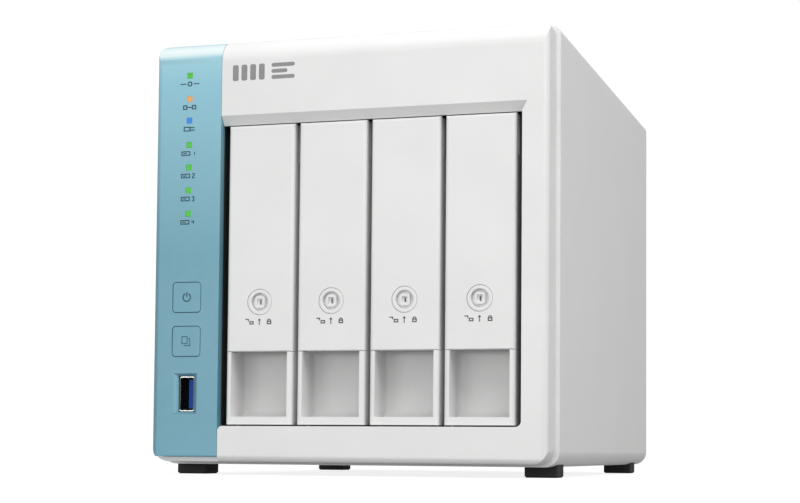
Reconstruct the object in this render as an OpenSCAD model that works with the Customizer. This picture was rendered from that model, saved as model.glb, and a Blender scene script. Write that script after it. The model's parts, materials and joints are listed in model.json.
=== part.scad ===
// Four-bay desktop network storage enclosure, without drives.
// Frame: origin at the centre of the footprint on the surface it stands on,
// +X to the right seen from the front, +Y towards the back, +Z up. Millimetres.

/* [Case] */
// Overall width
case_w = 160; // [160:1:170]
// Overall depth
case_d = 219; // [219:1:230]
// Overall height, feet included
case_h = 169; // [169:1:176]
// Height of the rubber feet
foot_h = 4; // [3:0.5:6]
// Side of a square foot
foot_size = 12.6; // [10:0.2:14]
// Thickness of the sheet steel
sheet = 1; // [0.8:0.1:1.2]
// Radius of the cover's lower long edges
cover_r = 6; // [5:0.5:7]
// Radius of the cover's upper long edges
cover_top_r = 3; // [2:0.5:4]

/* [Front] */
// Wall thickness of the moulded front
bezel_wall = 2.5; // [2:0.25:3]
// How far the front block's sides stand inside the case's outline
bezel_step = 1.5; // [1:0.25:2]
// Depth of the front block
bezel_depth = 13.75; // [12:0.25:15]
// Radius of the front block's top edge
top_r = 9.5; // [8:0.5:10]
// Radius of the front block's side edges
side_r = 2.5; // [2:0.25:3]
// Left end of the tray opening, measured from the middle
bay_left = -50.8; // [-51:0.1:-50.6]
// Right end of the tray opening, measured from the middle
bay_right = 68.5; // [68.3:0.1:69]
// Height of the tray opening's lower edge
bay_low = 18.7; // [18:0.1:19]
// Height of the tray opening's upper edge
bay_high = 135.6; // [135.4:0.1:136]
// Height of the bevel above the tray opening
bevel = 3.6; // [3:0.1:3.8]
// Radius of the tray opening's lower right corner
bay_r = 2.2; // [1:0.2:3]

/* [Control strip] */
// Thickness of the coloured panel
accent_t = 2; // [1.5:0.1:2.2]
// Side of a light window
light_size = 2.3; // [2:0.1:2.8]
// Side of a push button's cap
button_size = 11.6; // [10:0.1:12]
// Travel of a push button
button_travel = 0.8; // [0.5:0.1:1]

/* [Trays] */
// Distance from tray to tray
tray_pitch = 29; // [28.8:0.1:29.2]
// Width of a tray's front
tray_w = 27; // [26.8:0.1:27.2]
// Radius of the tray front's upright edges
tray_r = 1.4; // [0.8:0.1:1.6]
// Height of the joint between the finger pocket and the lever
pocket_top = 47.1; // [44:0.1:50]
// Depth of the finger pocket
pocket_depth = 14; // [12:0.5:14.5]
// Height of the lock's centre
lock_z = 66.2; // [64:0.1:68]
// Thickness of the lever
lever_t = 3.4; // [3.2:0.1:3.6]

/* [Fan] */
// Side of the square fan
fan_w = 120; // [120:1:120]
// Thickness of the fan
fan_t = 25; // [20:1:25]
// Number of fan blades
blades = 7; // [5:1:9]

/* [Hidden] */
$fn = 48;
e = 0.01;
half_w = case_w / 2;
front_y = -case_d / 2;
rear_y = case_d / 2;
top_z = case_h;
low_z = foot_h;

// front block and flange
flange_y = front_y + bezel_depth;
cover_y = flange_y + 3.25;
block_x = half_w - bezel_step;
block_low = low_z + 1;
block_top = top_z;
liner_t = 1.5;
lip_y = front_y + 4;
back_wall_y = front_y + 6;
back_wall_t = 2.2;
// lip over the trays' upper edges, with the bevel in front of it
lip_z = bay_high - 0.5;
lip_front = front_y + 2.7;
liner_high = bay_high + 1.4;

// rear wall, counted forwards from the rear edge
rear_out = rear_y - 2.2;
rear_in = rear_out - sheet;

// coloured strip
accent_x1 = bay_left - 0.15;
accent_low = 6.9;
accent_wrap = 7.5;
accent_return = 3.7;
strip_x = -64.3;
light_z = [155.2, 146, 137.5, 127.9, 119.1, 110.1, 101];
power_z = 68.4;
copy_z = 51.3;
button_r = 1.3;
button_gap = 0.2;
board_y = front_y + 10.9;
board_t = 1.6;
switch_h = 4;

// front socket, long side upright
usb_w = 6;
usb_l = 13.4;
usb_wall = 0.35;
usb_gap = 0.25;
usb_z = 31.05;
usb_y = front_y + 1.5;

// trays
tray_y = front_y + 1.5;
tray_low = 19.3;
tray_high = 134.8;
tray_half = tray_w / 2;
tray_x0 = -34.6;
tray_back_y = tray_y + 15.5;
rail_end_y = 50;
rail_h = 6.1;
floor_t = 1.2;
hinge_y = tray_y + 3;
hinge_z = 131.8;
journal_r = 1.2;
ear_r = 1.9;
ear_gap = 0.15;
ear_x0 = 8.3;
ear_x1 = 10.3;
block_front_y = tray_y + 6.2;
pocket_half = 11.45;
pocket_low = 22.3;
lever_low = pocket_top + 0.2;
ring_r = 4.9;
plug_r = 3.4;
// small drives: hole spacing along and across, and the first row's place
small_len = 76.6;
small_wid = 61.72;
// large drives: lower holes
large_len = 44.45;
large_wid = 95.25;
drive_hole_r = 1.6;
drive_mid_z = (tray_low + tray_high) / 2;
drive_y0 = tray_back_y + 0.5;
small_y = drive_y0 + 60;
large_y = drive_y0 + 83.5;

// drive cage
cage_t = 1.2;
cage_x0 = bay_left + 0.6;
cage_x1 = bay_right - 0.3;
cage_y0 = cover_y + 1;
cage_y1 = 61;
cage_low = tray_low - 0.3;
cage_high = tray_high + 0.4;

// chassis pan
pan_x = half_w - 2;
pan_z = low_z + sheet;
pan_t = 1.2;
pan_r = 4;
pan_side = 158;
pan_flange = 18;
pan_y0 = cover_y + 1;

// boards
pcb_t = 1.6;
main_x = -69.5;
main_face = main_x + pcb_t;
main_y0 = -70;
main_y1 = rear_in - 0.4;
main_z0 = 16;
main_z1 = 154;
stand_y = [main_y0 + 8, main_y1 - 36];
stand_z = [main_z0 + 8, main_z1 - 6];
back_y = cage_y1;
slot_z = [45, 95];

// rear sockets: heights of their centres
lan_z = [124, 104];
rear_usb_z = [82, 62];
dc_z = 38;
reset_z = 140;
key_slot_z = 150;
key_slot_x = -62;

// fan
fan_x = (cage_x0 + cage_x1) / 2;
fan_z = (cage_low + cage_high) / 2;
fan_y0 = rear_in - fan_t;
fan_hole = 52.5;
fan_bore = 57.5;
hub_r = 20;

// ---------- helpers ----------

// Extrudes an outline drawn in X and Z from y0 to y1.
module along_y(y0, y1) {
  translate([0, y1, 0]) rotate([90, 0, 0]) linear_extrude(height = y1 - y0) children();
}

// Extrudes an outline drawn in Y and Z from x0 to x1.
module along_x(x0, x1) {
  translate([x0, 0, 0]) rotate([90, 0, 90]) linear_extrude(height = x1 - x0) children();
}

// Extrudes an outline drawn in X and Y from z0 to z1.
module along_z(z0, z1) {
  translate([0, 0, z0]) linear_extrude(height = z1 - z0) children();
}

// A box between two corners.
module span(a, b) {
  translate(a) cube(b - a);
}

// A cylinder along Y between y0 and y1.
module rod_y(x, z, r, y0, y1) {
  translate([x, y0, z]) rotate([-90, 0, 0]) cylinder(r = r, h = y1 - y0);
}

// A cylinder along X between x0 and x1.
module rod_x(y, z, r, x0, x1) {
  translate([x0, y, z]) rotate([0, 90, 0]) cylinder(r = r, h = x1 - x0);
}

// A rectangle with its own radius at each corner: low left, low right, high right, high left.
module plate_outline(a, b, r) {
  difference() {
    translate(a) square(b - a);
    corner(a, [1, 1], r[0]);
    corner([b[0], a[1]], [-1, 1], r[1]);
    corner(b, [-1, -1], r[2]);
    corner([a[0], b[1]], [1, -1], r[3]);
  }
}

// What a rounded corner takes away from a square one at point p; s points inwards.
module corner(p, s, r) {
  if (r > 0)
    difference() {
      translate([p[0] + (s[0] > 0 ? -1 : -r), p[1] + (s[1] > 0 ? -1 : -r)]) square(r + 1);
      translate([p[0] + s[0] * r, p[1] + s[1] * r]) circle(r = r);
    }
}

// The case's outline seen from the front, drawn inwards by g.
module case_outline(g = 0) {
  low_r = cover_r - g;
  high_r = cover_top_r - min(g, 1);
  plate_outline([-half_w + g, low_z + g], [half_w - g, top_z - g], [low_r, low_r, high_r, high_r]);
}

// The front block's rounded solid, drawn inwards by g and cut off at y1.
module front_block(g = 0, y1 = flange_y) {
  x = block_x - g;
  y = front_y + g;
  z0 = block_low + g;
  z1 = block_top - g;
  low_r = 6.5 - g;
  high_r = 3.6 - min(g, 1.8);
  intersection() {
    along_y(y, y1) plate_outline([-x, z0], [x, z1], [low_r, low_r, high_r, high_r]);
    along_x(-half_w, half_w) plate_outline([y, z0], [y1, z1], [2.6 - min(g, 2), 0, 0, top_r - g]);
    along_z(low_z, top_z + 1) plate_outline([-x, y], [x, y1], [side_r, side_r, 0, 0]);
  }
}

function tray_x(n) = tray_x0 + tray_pitch * (n - 1);

// ---------- case ----------

// Wrap-around steel cover: top, both sides and the turned-in lower edges.
module outer_cover() {
  open_half = half_w - 22;
  lip_w = 8;
  color("whitesmoke")
  difference() {
    along_y(cover_y, rear_y) case_outline();
    along_y(cover_y - 1, rear_out) case_outline(sheet);
    along_y(rear_out - 1, rear_y + 1)
      plate_outline([-half_w + lip_w, low_z + sheet], [half_w - lip_w, top_z - lip_w], [0, 0, 3, 3]);
    along_y(rear_out + sheet, rear_y + 1) case_outline(sheet);
    span([-open_half, cover_y - 1, 0], [open_half, rear_y + 1, low_z + sheet + 1]);
    for (p = cover_screw_places()) rod_y(p[0], p[1], 1.7, rear_out - 1, rear_y + 1);
  }
}

function cover_screw_places() = [
  [-half_w + 5, 120], [half_w - 5, 120], [-half_w + 5, 40], [half_w - 5, 40], [0, top_z - 5]
];

module cover_screws() {
  color("silver")
  for (p = cover_screw_places()) {
    difference() {
      union() {
        rod_y(p[0], p[1], 2.9, rear_out + sheet, rear_y);
        rod_y(p[0], p[1], 1.5, rear_out - 5, rear_out + sheet + e);
      }
      span([p[0] - 1.6, rear_y - 0.8, p[1] - 0.3], [p[0] + 1.6, rear_y + 1, p[1] + 0.3]);
      span([p[0] - 0.3, rear_y - 0.8, p[1] - 1.6], [p[0] + 0.3, rear_y + 1, p[1] + 1.6]);
    }
  }
}

// Chassis pan: floor with vents, a tall left side that carries the board, a low right flange.
module base_pan() {
  color("gainsboro")
  difference() {
    along_y(pan_y0, rear_in) plate_outline([-pan_x, pan_z], [pan_x, pan_side], [pan_r, pan_r, 0, 0]);
    along_y(pan_y0 - 1, rear_in + 1)
      plate_outline([-pan_x + pan_t, pan_z + pan_t], [pan_x - pan_t, pan_side + 1],
                    [pan_r - pan_t, pan_r - pan_t, 0, 0]);
    span([0, pan_y0 - 1, pan_flange], [half_w, rear_in + 1, pan_side + 1]);
    for (row = [0 : 2], col = [0 : 9])
      translate([-36 + row * 26, -70 + col * 14, 0]) floor_slot(20, 5);
    for (y = stand_y, z = stand_z) rod_x(y, z, 1.5, -pan_x - 1, -pan_x + pan_t + 1);
    for (p = cage_screw_places()) translate([p[0], p[1], 0]) cylinder(r = 1.5, h = pan_z + 5);
  }
}

// A round-ended slot through the pan's floor.
module floor_slot(l, w) {
  translate([0, 0, pan_z - 1]) linear_extrude(height = pan_t + 2)
    plate_outline([0, 0], [l, w], [w / 2 - e, w / 2 - e, w / 2 - e, w / 2 - e]);
}

function cage_screw_places() = [
  [cage_x0 - 7, cage_y0 + 15], [cage_x0 - 7, cage_y1 - 15],
  [cage_x1 - 6, cage_y0 + 15], [cage_x1 - 6, cage_y1 - 15]
];

// Side wall of the drive cage from the pan up, with windows and a foot flange; x is its left face.
module cage_wall(x) {
  color("silver")
  difference() {
    union() {
      span([x, cage_y0, pan_z + pan_t], [x + cage_t, cage_y1, cage_high + cage_t]);
      span([x - 12, cage_y0, pan_z + pan_t], [x + e, cage_y1, pan_z + 2 * pan_t]);
    }
    for (k = [0 : 2]) {
      y = cage_y0 + 12 + k * 44;
      span([x - 1, y, 34], [x + cage_t + 1, y + 34, 120]);
    }
    for (p = cage_screw_places()) translate([p[0], p[1], 0]) cylinder(r = 1.5, h = pan_z + 5);
  }
}

module cage_left_wall() { cage_wall(cage_x0); }
module cage_right_wall() { cage_wall(cage_x1); }

// Sheet across the cage with guide ribs between the trays; s is 1 where the ribs stand up.
module cage_sheet(z0, s) {
  rib_h = 4.2;
  rib_off = tray_half + 0.85;
  z1 = z0 + cage_t;
  color("silver")
  difference() {
    union() {
      span([cage_x0 + cage_t, cage_y0, z0], [cage_x1, cage_y1, z1]);
      for (n = [1 : 3]) {
        x = tray_x(n) + rib_off - cage_t / 2;
        span([x, cage_y0, s > 0 ? z1 - e : z0 - rib_h], [x + cage_t, cage_y1, s > 0 ? z1 + rib_h : z0 + e]);
      }
    }
    for (n = [1 : 4], k = [0 : 3]) {
      x = tray_x(n);
      y = cage_y0 + 14 + k * 34;
      span([x - 9, y, z0 - 1], [x + 9, y + 24, z1 + 1]);
    }
  }
}

module cage_floor() { cage_sheet(cage_low - cage_t, 1); }
module cage_roof() { cage_sheet(cage_high, -1); }

// Rear wall with the stamped fan grille and the socket openings.
module rear_panel() {
  edge = sheet + 0.2;
  gap = 0.5;
  color("gainsboro")
  difference() {
    along_y(rear_in, rear_out)
      plate_outline([-half_w + edge, low_z + edge], [half_w - edge, top_z - edge],
                    [cover_r - edge, cover_r - edge, cover_top_r - 1, cover_top_r - 1]);
    translate([fan_x, 0, fan_z]) along_y(rear_in - 1, rear_out + 1) grille_slots();
    for (a = [-1, 1], b = [-1, 1])
      rod_y(fan_x + a * fan_hole, fan_z + b * fan_hole, 2.1, rear_in - 1, rear_out + 1);
    for (z = lan_z)
      span([main_face - 0.3, rear_in - 1, z - 8 - gap], [main_face + 13.5 + gap, rear_out + 1, z + 8 + gap]);
    for (z = rear_usb_z)
      span([main_face - 0.3, rear_in - 1, z - usb_l / 2 - gap],
           [main_face + usb_w + gap, rear_out + 1, z + usb_l / 2 + gap]);
    rod_y(main_face + 6, dc_z, 4.6, rear_in - 1, rear_out + 1);
    rod_y(main_face + 3.5, reset_z, 1.6, rear_in - 1, rear_out + 1);
    span([key_slot_x - 1.5, rear_in - 1, key_slot_z - 3.5], [key_slot_x + 1.5, rear_out + 1, key_slot_z + 3.5]);
    for (p = cover_screw_places()) rod_y(p[0], p[1], 1.5, rear_in - 1, rear_out + 1);
  }
}

// Rings of slots with four bridges, drawn about the fan's axis.
module grille_slots() {
  ring_w = 4.4;
  bar_w = 2;
  bridge = 2.4;
  difference() {
    union() {
      for (r = [16 : ring_w + bar_w : fan_bore - ring_w])
        difference() {
          circle(r = r + ring_w, $fn = 96);
          circle(r = r, $fn = 96);
        }
    }
    for (a = [45, 135]) rotate(a) translate([-fan_bore, -bridge / 2]) square([2 * fan_bore, bridge]);
  }
}

// Rubber feet, square, their tops shaped to the cover's rounded edges.
module feet() {
  foot_x = 71;
  foot_y = [-81, 85];
  h = foot_size / 2;
  r = 0.8;
  chamfer = 0.4;
  color("#202020")
  difference() {
    for (x = [-foot_x, foot_x], y = foot_y)
      translate([x, y, 0]) {
        along_z(0, chamfer)
          plate_outline([-h + chamfer, -h + chamfer], [h - chamfer, h - chamfer], [r, r, r, r]);
        along_z(chamfer, foot_h + 1) plate_outline([-h, -h], [h, h], [r, r, r, r]);
      }
    along_y(cover_y, rear_y) case_outline();
  }
}

// ---------- front ----------

// Moulded front: hollow block with a rear flange, tray opening, bevel and inner tunnel.
module front_bezel() {
  strip_x0 = -block_x + accent_t;
  collar_x1 = bay_right + liner_t;
  color("white")
  difference() {
    union() {
      difference() {
        union() {
          front_block();
          along_y(flange_y, cover_y) case_outline();
        }
        // hollow behind the front wall
        front_block(bezel_wall, cover_y + 1);
        // room for the coloured strip, and a setback below it
        span([-half_w, front_y - 1, accent_low - 0.1], [bay_left, back_wall_y, top_z + 1]);
        difference() {
          span([-half_w, front_y - 1, accent_low - 0.1], [bay_left, front_y + accent_wrap, top_z + 1]);
          front_block(accent_t, cover_y);
        }
        span([-half_w, front_y - 1, 0], [bay_left, front_y + accent_t, accent_low]);
      }
      // wall behind the strip
      intersection() {
        front_block(accent_t, cover_y);
        span([strip_x0, back_wall_y, block_low + 1],
             [bay_left - 0.6, back_wall_y + back_wall_t, block_top - accent_t]);
      }
      // collar that thickens the front wall around the opening
      span([bay_left, front_y + bezel_wall - e, bay_low - liner_t], [collar_x1, lip_y, bay_high + bevel]);
    }
    bay_opening();
    // rounded end of the lower rail beside the strip
    along_y(front_y - 1, lip_y + 1) corner([bay_left, bay_low], [1, -1], 2);
    // passages behind the strip
    for (z = light_z)
      span([strip_x - 1.6, back_wall_y - 1, z - 1.6], [strip_x + 1.6, back_wall_y + 3, z + 1.6]);
    for (z = [power_z, copy_z]) rod_y(strip_x, z, 3.2, back_wall_y - 1, back_wall_y + 3);
    span([strip_x - usb_w / 2 - 0.6, back_wall_y - 1, usb_z - usb_l / 2 - 0.4],
         [strip_x + usb_w / 2 + 0.5, back_wall_y + 3, usb_z + usb_l / 2 + 0.4]);
  }
}

// The tray opening through the front wall and collar, with the bevel and the lip above it.
module bay_opening() {
  slope = bevel / (lip_front - front_y);
  bevel_top = lip_z + bevel;
  end_slope = 0.53;
  along_y(front_y - 1, lip_y + 1) plate_outline([bay_left, bay_low], [bay_right, lip_z], [0, bay_r, 0, 0]);
  along_x(bay_left, bay_right)
    polygon([[lip_front, lip_z - 1], [lip_front, lip_z], [lip_front + 0.5, bay_high],
             [lip_y + 1, bay_high], [lip_y + 1, lip_z - 1]]);
  intersection() {
    along_x(bay_left - e, bay_right + bevel)
      polygon([[front_y - 1, lip_z - 1], [lip_front, lip_z - 1], [lip_front, lip_z],
               [front_y, bevel_top], [front_y - 1, bevel_top + slope]]);
    along_y(front_y - 2, lip_y + 1)
      polygon([[bay_left - e, lip_z - 2], [bay_right, lip_z - 2], [bay_right, lip_z],
               [bay_right + end_slope * (bevel + 2), bevel_top + 2], [bay_left - e, bevel_top + 2]]);
  }
}

// Dark inner frame between the front and the drive cage.
module bay_liner() {
  color("#202020")
  along_y(lip_y, cover_y)
  difference() {
    translate([bay_left - 0.6, bay_low - liner_t])
      square([bay_right - bay_left + 0.6 + liner_t, liner_high - bay_low + 2 * liner_t]);
    translate([bay_left, bay_low]) square([bay_right - bay_left, liner_high - bay_low]);
  }
}

// Chamfer around the front socket's opening, wider on its long sides.
module usb_chamfer() {
  w = usb_w / 2 + usb_gap;
  l = usb_l / 2 + usb_gap;
  depth = 1.1;
  intersection() {
    along_z(usb_z - l - 2, usb_z + l + 2)
      polygon([[strip_x - w - 2, front_y - e], [strip_x + w + 1.5, front_y - e],
               [strip_x + w, front_y + depth], [strip_x - w, front_y + depth]]);
    along_x(strip_x - w - 3, strip_x + w + 3)
      polygon([[front_y - e, usb_z - l - 0.9], [front_y + depth, usb_z - l],
               [front_y + depth, usb_z + l], [front_y - e, usb_z + l + 0.9]]);
  }
}

// Coloured strip: a thin shell that wraps over the block's left and top edges.
module accent_panel() {
  y_wrap = front_y + accent_wrap;
  color("#7fb3c2")
  difference() {
    intersection() {
      front_block();
      span([-half_w, front_y - 1, accent_low], [accent_x1, y_wrap, top_z + 1]);
    }
    intersection() {
      front_block(accent_t, flange_y);
      span([-half_w, front_y - 1, accent_low + accent_t], [accent_x1 - 1.5, y_wrap + 1, top_z + 1]);
    }
    // the right edge turns back only a little
    span([accent_x1 - 1.6, front_y + accent_return, low_z], [bay_left, y_wrap + 1, block_top - accent_t]);
    span([-block_x + accent_t, front_y + accent_return, low_z], [bay_left, y_wrap + 1, block_low + 5]);
    for (z = light_z)
      span([strip_x - light_size / 2 - 0.03, front_y - 1, z - light_size / 2 - 0.03],
           [strip_x + light_size / 2 + 0.03, front_y + 3, z + light_size / 2 + 0.03]);
    for (z = [power_z, copy_z]) translate([strip_x, 0, z]) along_y(front_y - 1, front_y + 3) cap_outline(button_gap);
    span([strip_x - usb_w / 2 - usb_gap, front_y - 1, usb_z - usb_l / 2 - usb_gap],
         [strip_x + usb_w / 2 + usb_gap, front_y + 3, usb_z + usb_l / 2 + usb_gap]);
    usb_chamfer();
  }
}

// Outline of a push button's cap about its centre, larger by g all round.
module cap_outline(g = 0) {
  h = button_size / 2 + g;
  r = button_r + g;
  plate_outline([-h, -h], [h, h], [r, r, r, r]);
}

// Square light pipe from the strip's face to the board.
module light_pipe(z) {
  h = light_size / 2;
  span([strip_x - h, front_y, z - h], [strip_x + h, board_y, z + h]);
}

module status_light() { color("limegreen") light_pipe(light_z[0]); }
module lan_light() { color("sandybrown") light_pipe(light_z[1]); }
module usb_light() { color("dodgerblue") light_pipe(light_z[2]); }
module drive_lights() { color("limegreen") for (k = [3 : 6]) light_pipe(light_z[k]); }

// Push button: cap, rear flange that stops it behind the strip, and stem to the switch.
module push_button(z) {
  cap_t = accent_t + 0.1;
  stem_end = board_y - switch_h - button_travel - 0.1;
  color("#84b8c7")
  translate([strip_x, 0, z]) {
    along_y(front_y, front_y + cap_t + e) cap_outline();
    along_y(front_y + cap_t, front_y + cap_t + 1) cap_outline(0.9);
    rod_y(0, 0, 2.4, front_y + cap_t + 1 - e, stem_end);
  }
}

module power_button() { push_button(power_z); }
module copy_button() { push_button(copy_z); }

// Small upright board that carries the lights, switches and front socket.
module front_board() {
  color("darkgreen")
  span([strip_x - 9, board_y, 14], [strip_x + 10.5, board_y + board_t, 160]);
}

// Push switches behind the two buttons.
module front_switches() {
  color("#303030")
  for (z = [power_z, copy_z]) {
    span([strip_x - 3, board_y - 2.6, z - 3], [strip_x + 3, board_y, z + 3]);
    rod_y(strip_x, z, 1.7, board_y - switch_h, board_y - 2.6 + e);
  }
}

// A USB-A shell with its long side upright; x and z are its centre.
module usb_shell(x, z, y0, y1) {
  w = usb_w / 2;
  l = usb_l / 2;
  along_y(y0, y1)
  difference() {
    plate_outline([x - w, z - l], [x + w, z + l], [0.6, 0.6, 0.6, 0.6]);
    translate([x - w + usb_wall, z - l + usb_wall]) square([usb_w - 2 * usb_wall, usb_l - 2 * usb_wall]);
  }
}

// The tongue and the moulded block behind it; side says on which side of the shell it lies.
module usb_tongue(x, z, y_mouth, y_back, side) {
  dir = y_back > y_mouth ? 1 : -1;
  inner = usb_w / 2 - usb_wall;
  in_l = usb_l / 2 - usb_wall;
  t0 = side > 0 ? inner - 2.1 : -inner + 0.1;
  y_tip = y_mouth + dir * 0.8;
  y_block = y_back - dir * 1.6;
  span([x + t0, min(y_tip, y_back), z - 5.55], [x + t0 + 2, max(y_tip, y_back), z + 5.55]);
  span([x - inner, min(y_block, y_back), z - in_l], [x + inner, max(y_block, y_back), z + in_l]);
}

module front_usb_shell() { color("silver") usb_shell(strip_x, usb_z, usb_y, board_y); }
module front_usb_tongue() { color("royalblue") usb_tongue(strip_x, usb_z, usb_y, board_y, 1); }

// ---------- trays ----------

// Tray: front with the finger pocket, drive floor on the left and a rail above and below.
module tray(n) {
  h = tray_half;
  low_rail = tray_low + rail_h;
  high_rail = tray_high - rail_h;
  color("whitesmoke")
  translate([tray_x(n), 0, 0])
  difference() {
    union() {
      along_z(tray_low, pocket_top) plate_outline([-h, tray_y], [h, tray_back_y], [tray_r, tray_r, 0, 0]);
      span([-h + 0.2, block_front_y, pocket_top - e], [h - 0.2, tray_back_y, tray_high]);
      for (x = [-h + 0.2, h - 1.4])
        span([x, tray_y + lever_t + 0.2, pocket_top - e], [x + 1.2, block_front_y + e, 120]);
      span([-h, tray_back_y - e, tray_low], [-h + floor_t, rail_end_y, tray_high]);
      span([-h + floor_t - e, tray_back_y - e, tray_low], [h - 0.3, rail_end_y, low_rail]);
      span([-h + floor_t - e, tray_back_y - e, high_rail], [h - 0.3, rail_end_y, tray_high]);
      for (x = [-ear_x1, ear_x0]) {
        rod_x(hinge_y, hinge_z, ear_r, x, x + ear_x1 - ear_x0);
        span([x, hinge_y, hinge_z - ear_r], [x + ear_x1 - ear_x0, block_front_y + e, hinge_z + 1]);
      }
    }
    finger_pocket();
    // shallow panel behind the lever
    span([-pocket_half, block_front_y - 1, lock_z + 13], [pocket_half, block_front_y + 2.4, 124]);
    // journal bores
    for (x = [-ear_x1, ear_x0]) rod_x(hinge_y, hinge_z, journal_r + 0.05, x - 1, x + 3);
    // drive floor: vents and bolt holes
    for (k = [0 : 4]) {
      y = drive_y0 + 6 + k * 25;
      span([-h - 1, y, drive_mid_z - 22], [-h + floor_t + 1, y + 17, drive_mid_z + 22]);
    }
    for (a = [-1, 1], b = [-1, 1]) {
      rod_x(small_y + a * small_len / 2, drive_mid_z + b * small_wid / 2, drive_hole_r, -h - 1, -h + floor_t + 1);
      rod_x(large_y + a * large_len / 2, drive_mid_z + b * large_wid / 2, drive_hole_r, -h - 1, -h + floor_t + 1);
    }
    // grooves and holes for the drive clips
    for (s = [-1, 1]) clip_shape(s, 0.1);
  }
}

// Finger pocket with rounded inner corners, open behind the lever up past the lock.
module finger_pocket() {
  back_y = tray_y + pocket_depth;
  z1 = lock_z + 10;
  intersection() {
    along_x(-pocket_half, pocket_half) plate_outline([tray_y - 1, pocket_low], [back_y, z1], [0, 3, 3, 0]);
    along_z(pocket_low, z1) plate_outline([-pocket_half, tray_y - 1], [pocket_half, back_y], [0, 0, 1.8, 1.8]);
  }
}

// Clip strip with three pins; s is -1 below the drive and 1 above it; g widens it.
module clip_shape(s, g) {
  x = -tray_half + floor_t + 6.35;
  z_out = s > 0 ? tray_high : tray_low;
  t = 1.5;
  z0 = s > 0 ? z_out - t : z_out;
  pin_z0 = s > 0 ? tray_high - rail_h : tray_low + t - e;
  span([x - 2.6 - g, drive_y0 + 20 - g, z0 - (s > 0 ? g : 1) * (g > 0 ? 1 : 0)],
       [x + 2.6 + g, drive_y0 + 138 + g, z0 + t + (s > 0 ? 1 : g) * (g > 0 ? 1 : 0)]);
  for (y = [28.5, 70, 130])
    translate([x, drive_y0 + y, pin_z0 - (g > 0 && s > 0 ? 1 : 0)])
      cylinder(r = 1.5 + g, h = rail_h - t + e + (g > 0 ? 1 : 0));
}

module drive_clips(n) {
  color("dimgray") translate([tray_x(n), 0, 0]) for (s = [-1, 1]) clip_shape(s, 0);
}

// Lever: long front cover hinged near its top edge, hollow behind.
module tray_lever(n) {
  h = tray_half;
  y1 = tray_y + lever_t;
  skin_y = tray_y + 1.7;
  slot_r = ear_r + ear_gap;
  color("white")
  translate([tray_x(n), 0, 0])
  difference() {
    union() {
      difference() {
        intersection() {
          along_z(lever_low, tray_high) plate_outline([-h, tray_y], [h, y1], [tray_r, tray_r, 0, 0]);
          along_x(-h, h) plate_outline([tray_y, lever_low], [y1, tray_high], [0.5, 0, 0, 1.5]);
        }
        span([-h + 1.8, skin_y, lever_low + 2], [h - 1.8, y1 + 1, 126]);
        for (x = [-ear_x1 - ear_gap, ear_x0 - ear_gap]) {
          w = ear_x1 - ear_x0 + 2 * ear_gap;
          rod_x(hinge_y, hinge_z, slot_r, x, x + w);
          span([x, hinge_y, hinge_z - slot_r], [x + w, y1 + 1, tray_high + 1]);
        }
      }
      rod_y(0, lock_z, 6.8, skin_y - e, y1);
      for (z = [84, 100, 116]) span([-h + 1, skin_y - e, z], [h - 1, y1 - 0.4, z + 1.2]);
      rod_x(hinge_y, hinge_z, 2.2, -ear_x0 + ear_gap, ear_x0 - ear_gap);
      rod_x(hinge_y, hinge_z, journal_r, -ear_x1 - ear_gap - e, ear_x1 + ear_gap + e);
    }
    rod_y(0, lock_z, ring_r + 0.12, tray_y - 1, y1 + 1);
  }
}

// Lock barrel's ring with a retaining collar behind the lever.
module lock_ring(n) {
  y1 = tray_y + lever_t;
  color("white")
  translate([tray_x(n), 0, 0])
  difference() {
    union() {
      rod_y(0, lock_z, ring_r, tray_y, y1 + 1.4);
      rod_y(0, lock_z, 6.4, y1 + 0.05, y1 + 1.4);
    }
    rod_y(0, lock_z, plug_r + 0.04, tray_y - 1, y1 + 2);
  }
}

// Turning plug with a raised boss, a square key recess and a cam at its rear end.
module lock_plug(n) {
  y_end = tray_y + 9.5;
  face_y = tray_y + 1.7;
  boss_y = tray_y + 0.2;
  color("lightgray")
  translate([tray_x(n), 0, 0])
  difference() {
    union() {
      rod_y(0, lock_z, plug_r, face_y, y_end);
      translate([0, 0, lock_z]) along_y(boss_y, face_y + e) plate_outline([-2, -2.3], [2, 2.3], [1.2, 1.2, 1.2, 1.2]);
      span([-2, y_end - 1.4, lock_z - 7], [2, y_end, lock_z]);
    }
    span([-1.15, tray_y - 1, lock_z - 1.3], [1.15, boss_y + 0.9, lock_z + 1.3]);
    span([-0.35, tray_y - 1, lock_z - 1], [0.35, boss_y + 3.5, lock_z + 1]);
  }
}

// ---------- electronics ----------

// Backplane behind the cage, with a tab that enters the main board's slot.
module backplane_board() {
  color("darkgreen")
  difference() {
    union() {
      span([cage_x0, back_y, cage_low], [cage_x1, back_y + pcb_t, cage_high]);
      span([main_face + 3, back_y, slot_z[0] + 4], [cage_x0 + e, back_y + pcb_t, slot_z[1] - 4]);
    }
    for (n = [1 : 4], z = [30, 112])
      span([tray_x(n) - 1, back_y - 1, z], [tray_x(n) + 11, back_y + pcb_t + 1, z + 14]);
  }
}

// Drive sockets: combined data and power, one per bay, long side upright.
module backplane_sockets() {
  color("#202020")
  for (n = [1 : 4]) {
    x = tray_x(n) - tray_half + floor_t + 3.5;
    difference() {
      span([x - 3, back_y - 5, drive_mid_z - 21.3], [x + 3, back_y, drive_mid_z + 21.3]);
      span([x - 1.6, back_y - 6, drive_mid_z - 19], [x + 1.6, back_y - 1.5, drive_mid_z - 2]);
      span([x - 1.6, back_y - 6, drive_mid_z + 1], [x + 1.6, back_y - 1.5, drive_mid_z + 19]);
    }
  }
}

// Edge socket on the main board that holds the backplane's tab.
module backplane_slot() {
  color("#202020")
  difference() {
    span([main_face, back_y - 3, slot_z[0]], [main_face + 9, back_y + pcb_t + 3, slot_z[1]]);
    span([main_face + 3, back_y, slot_z[0] + 3.9], [main_face + 10, back_y + pcb_t, slot_z[1] - 3.9]);
  }
}

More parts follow.
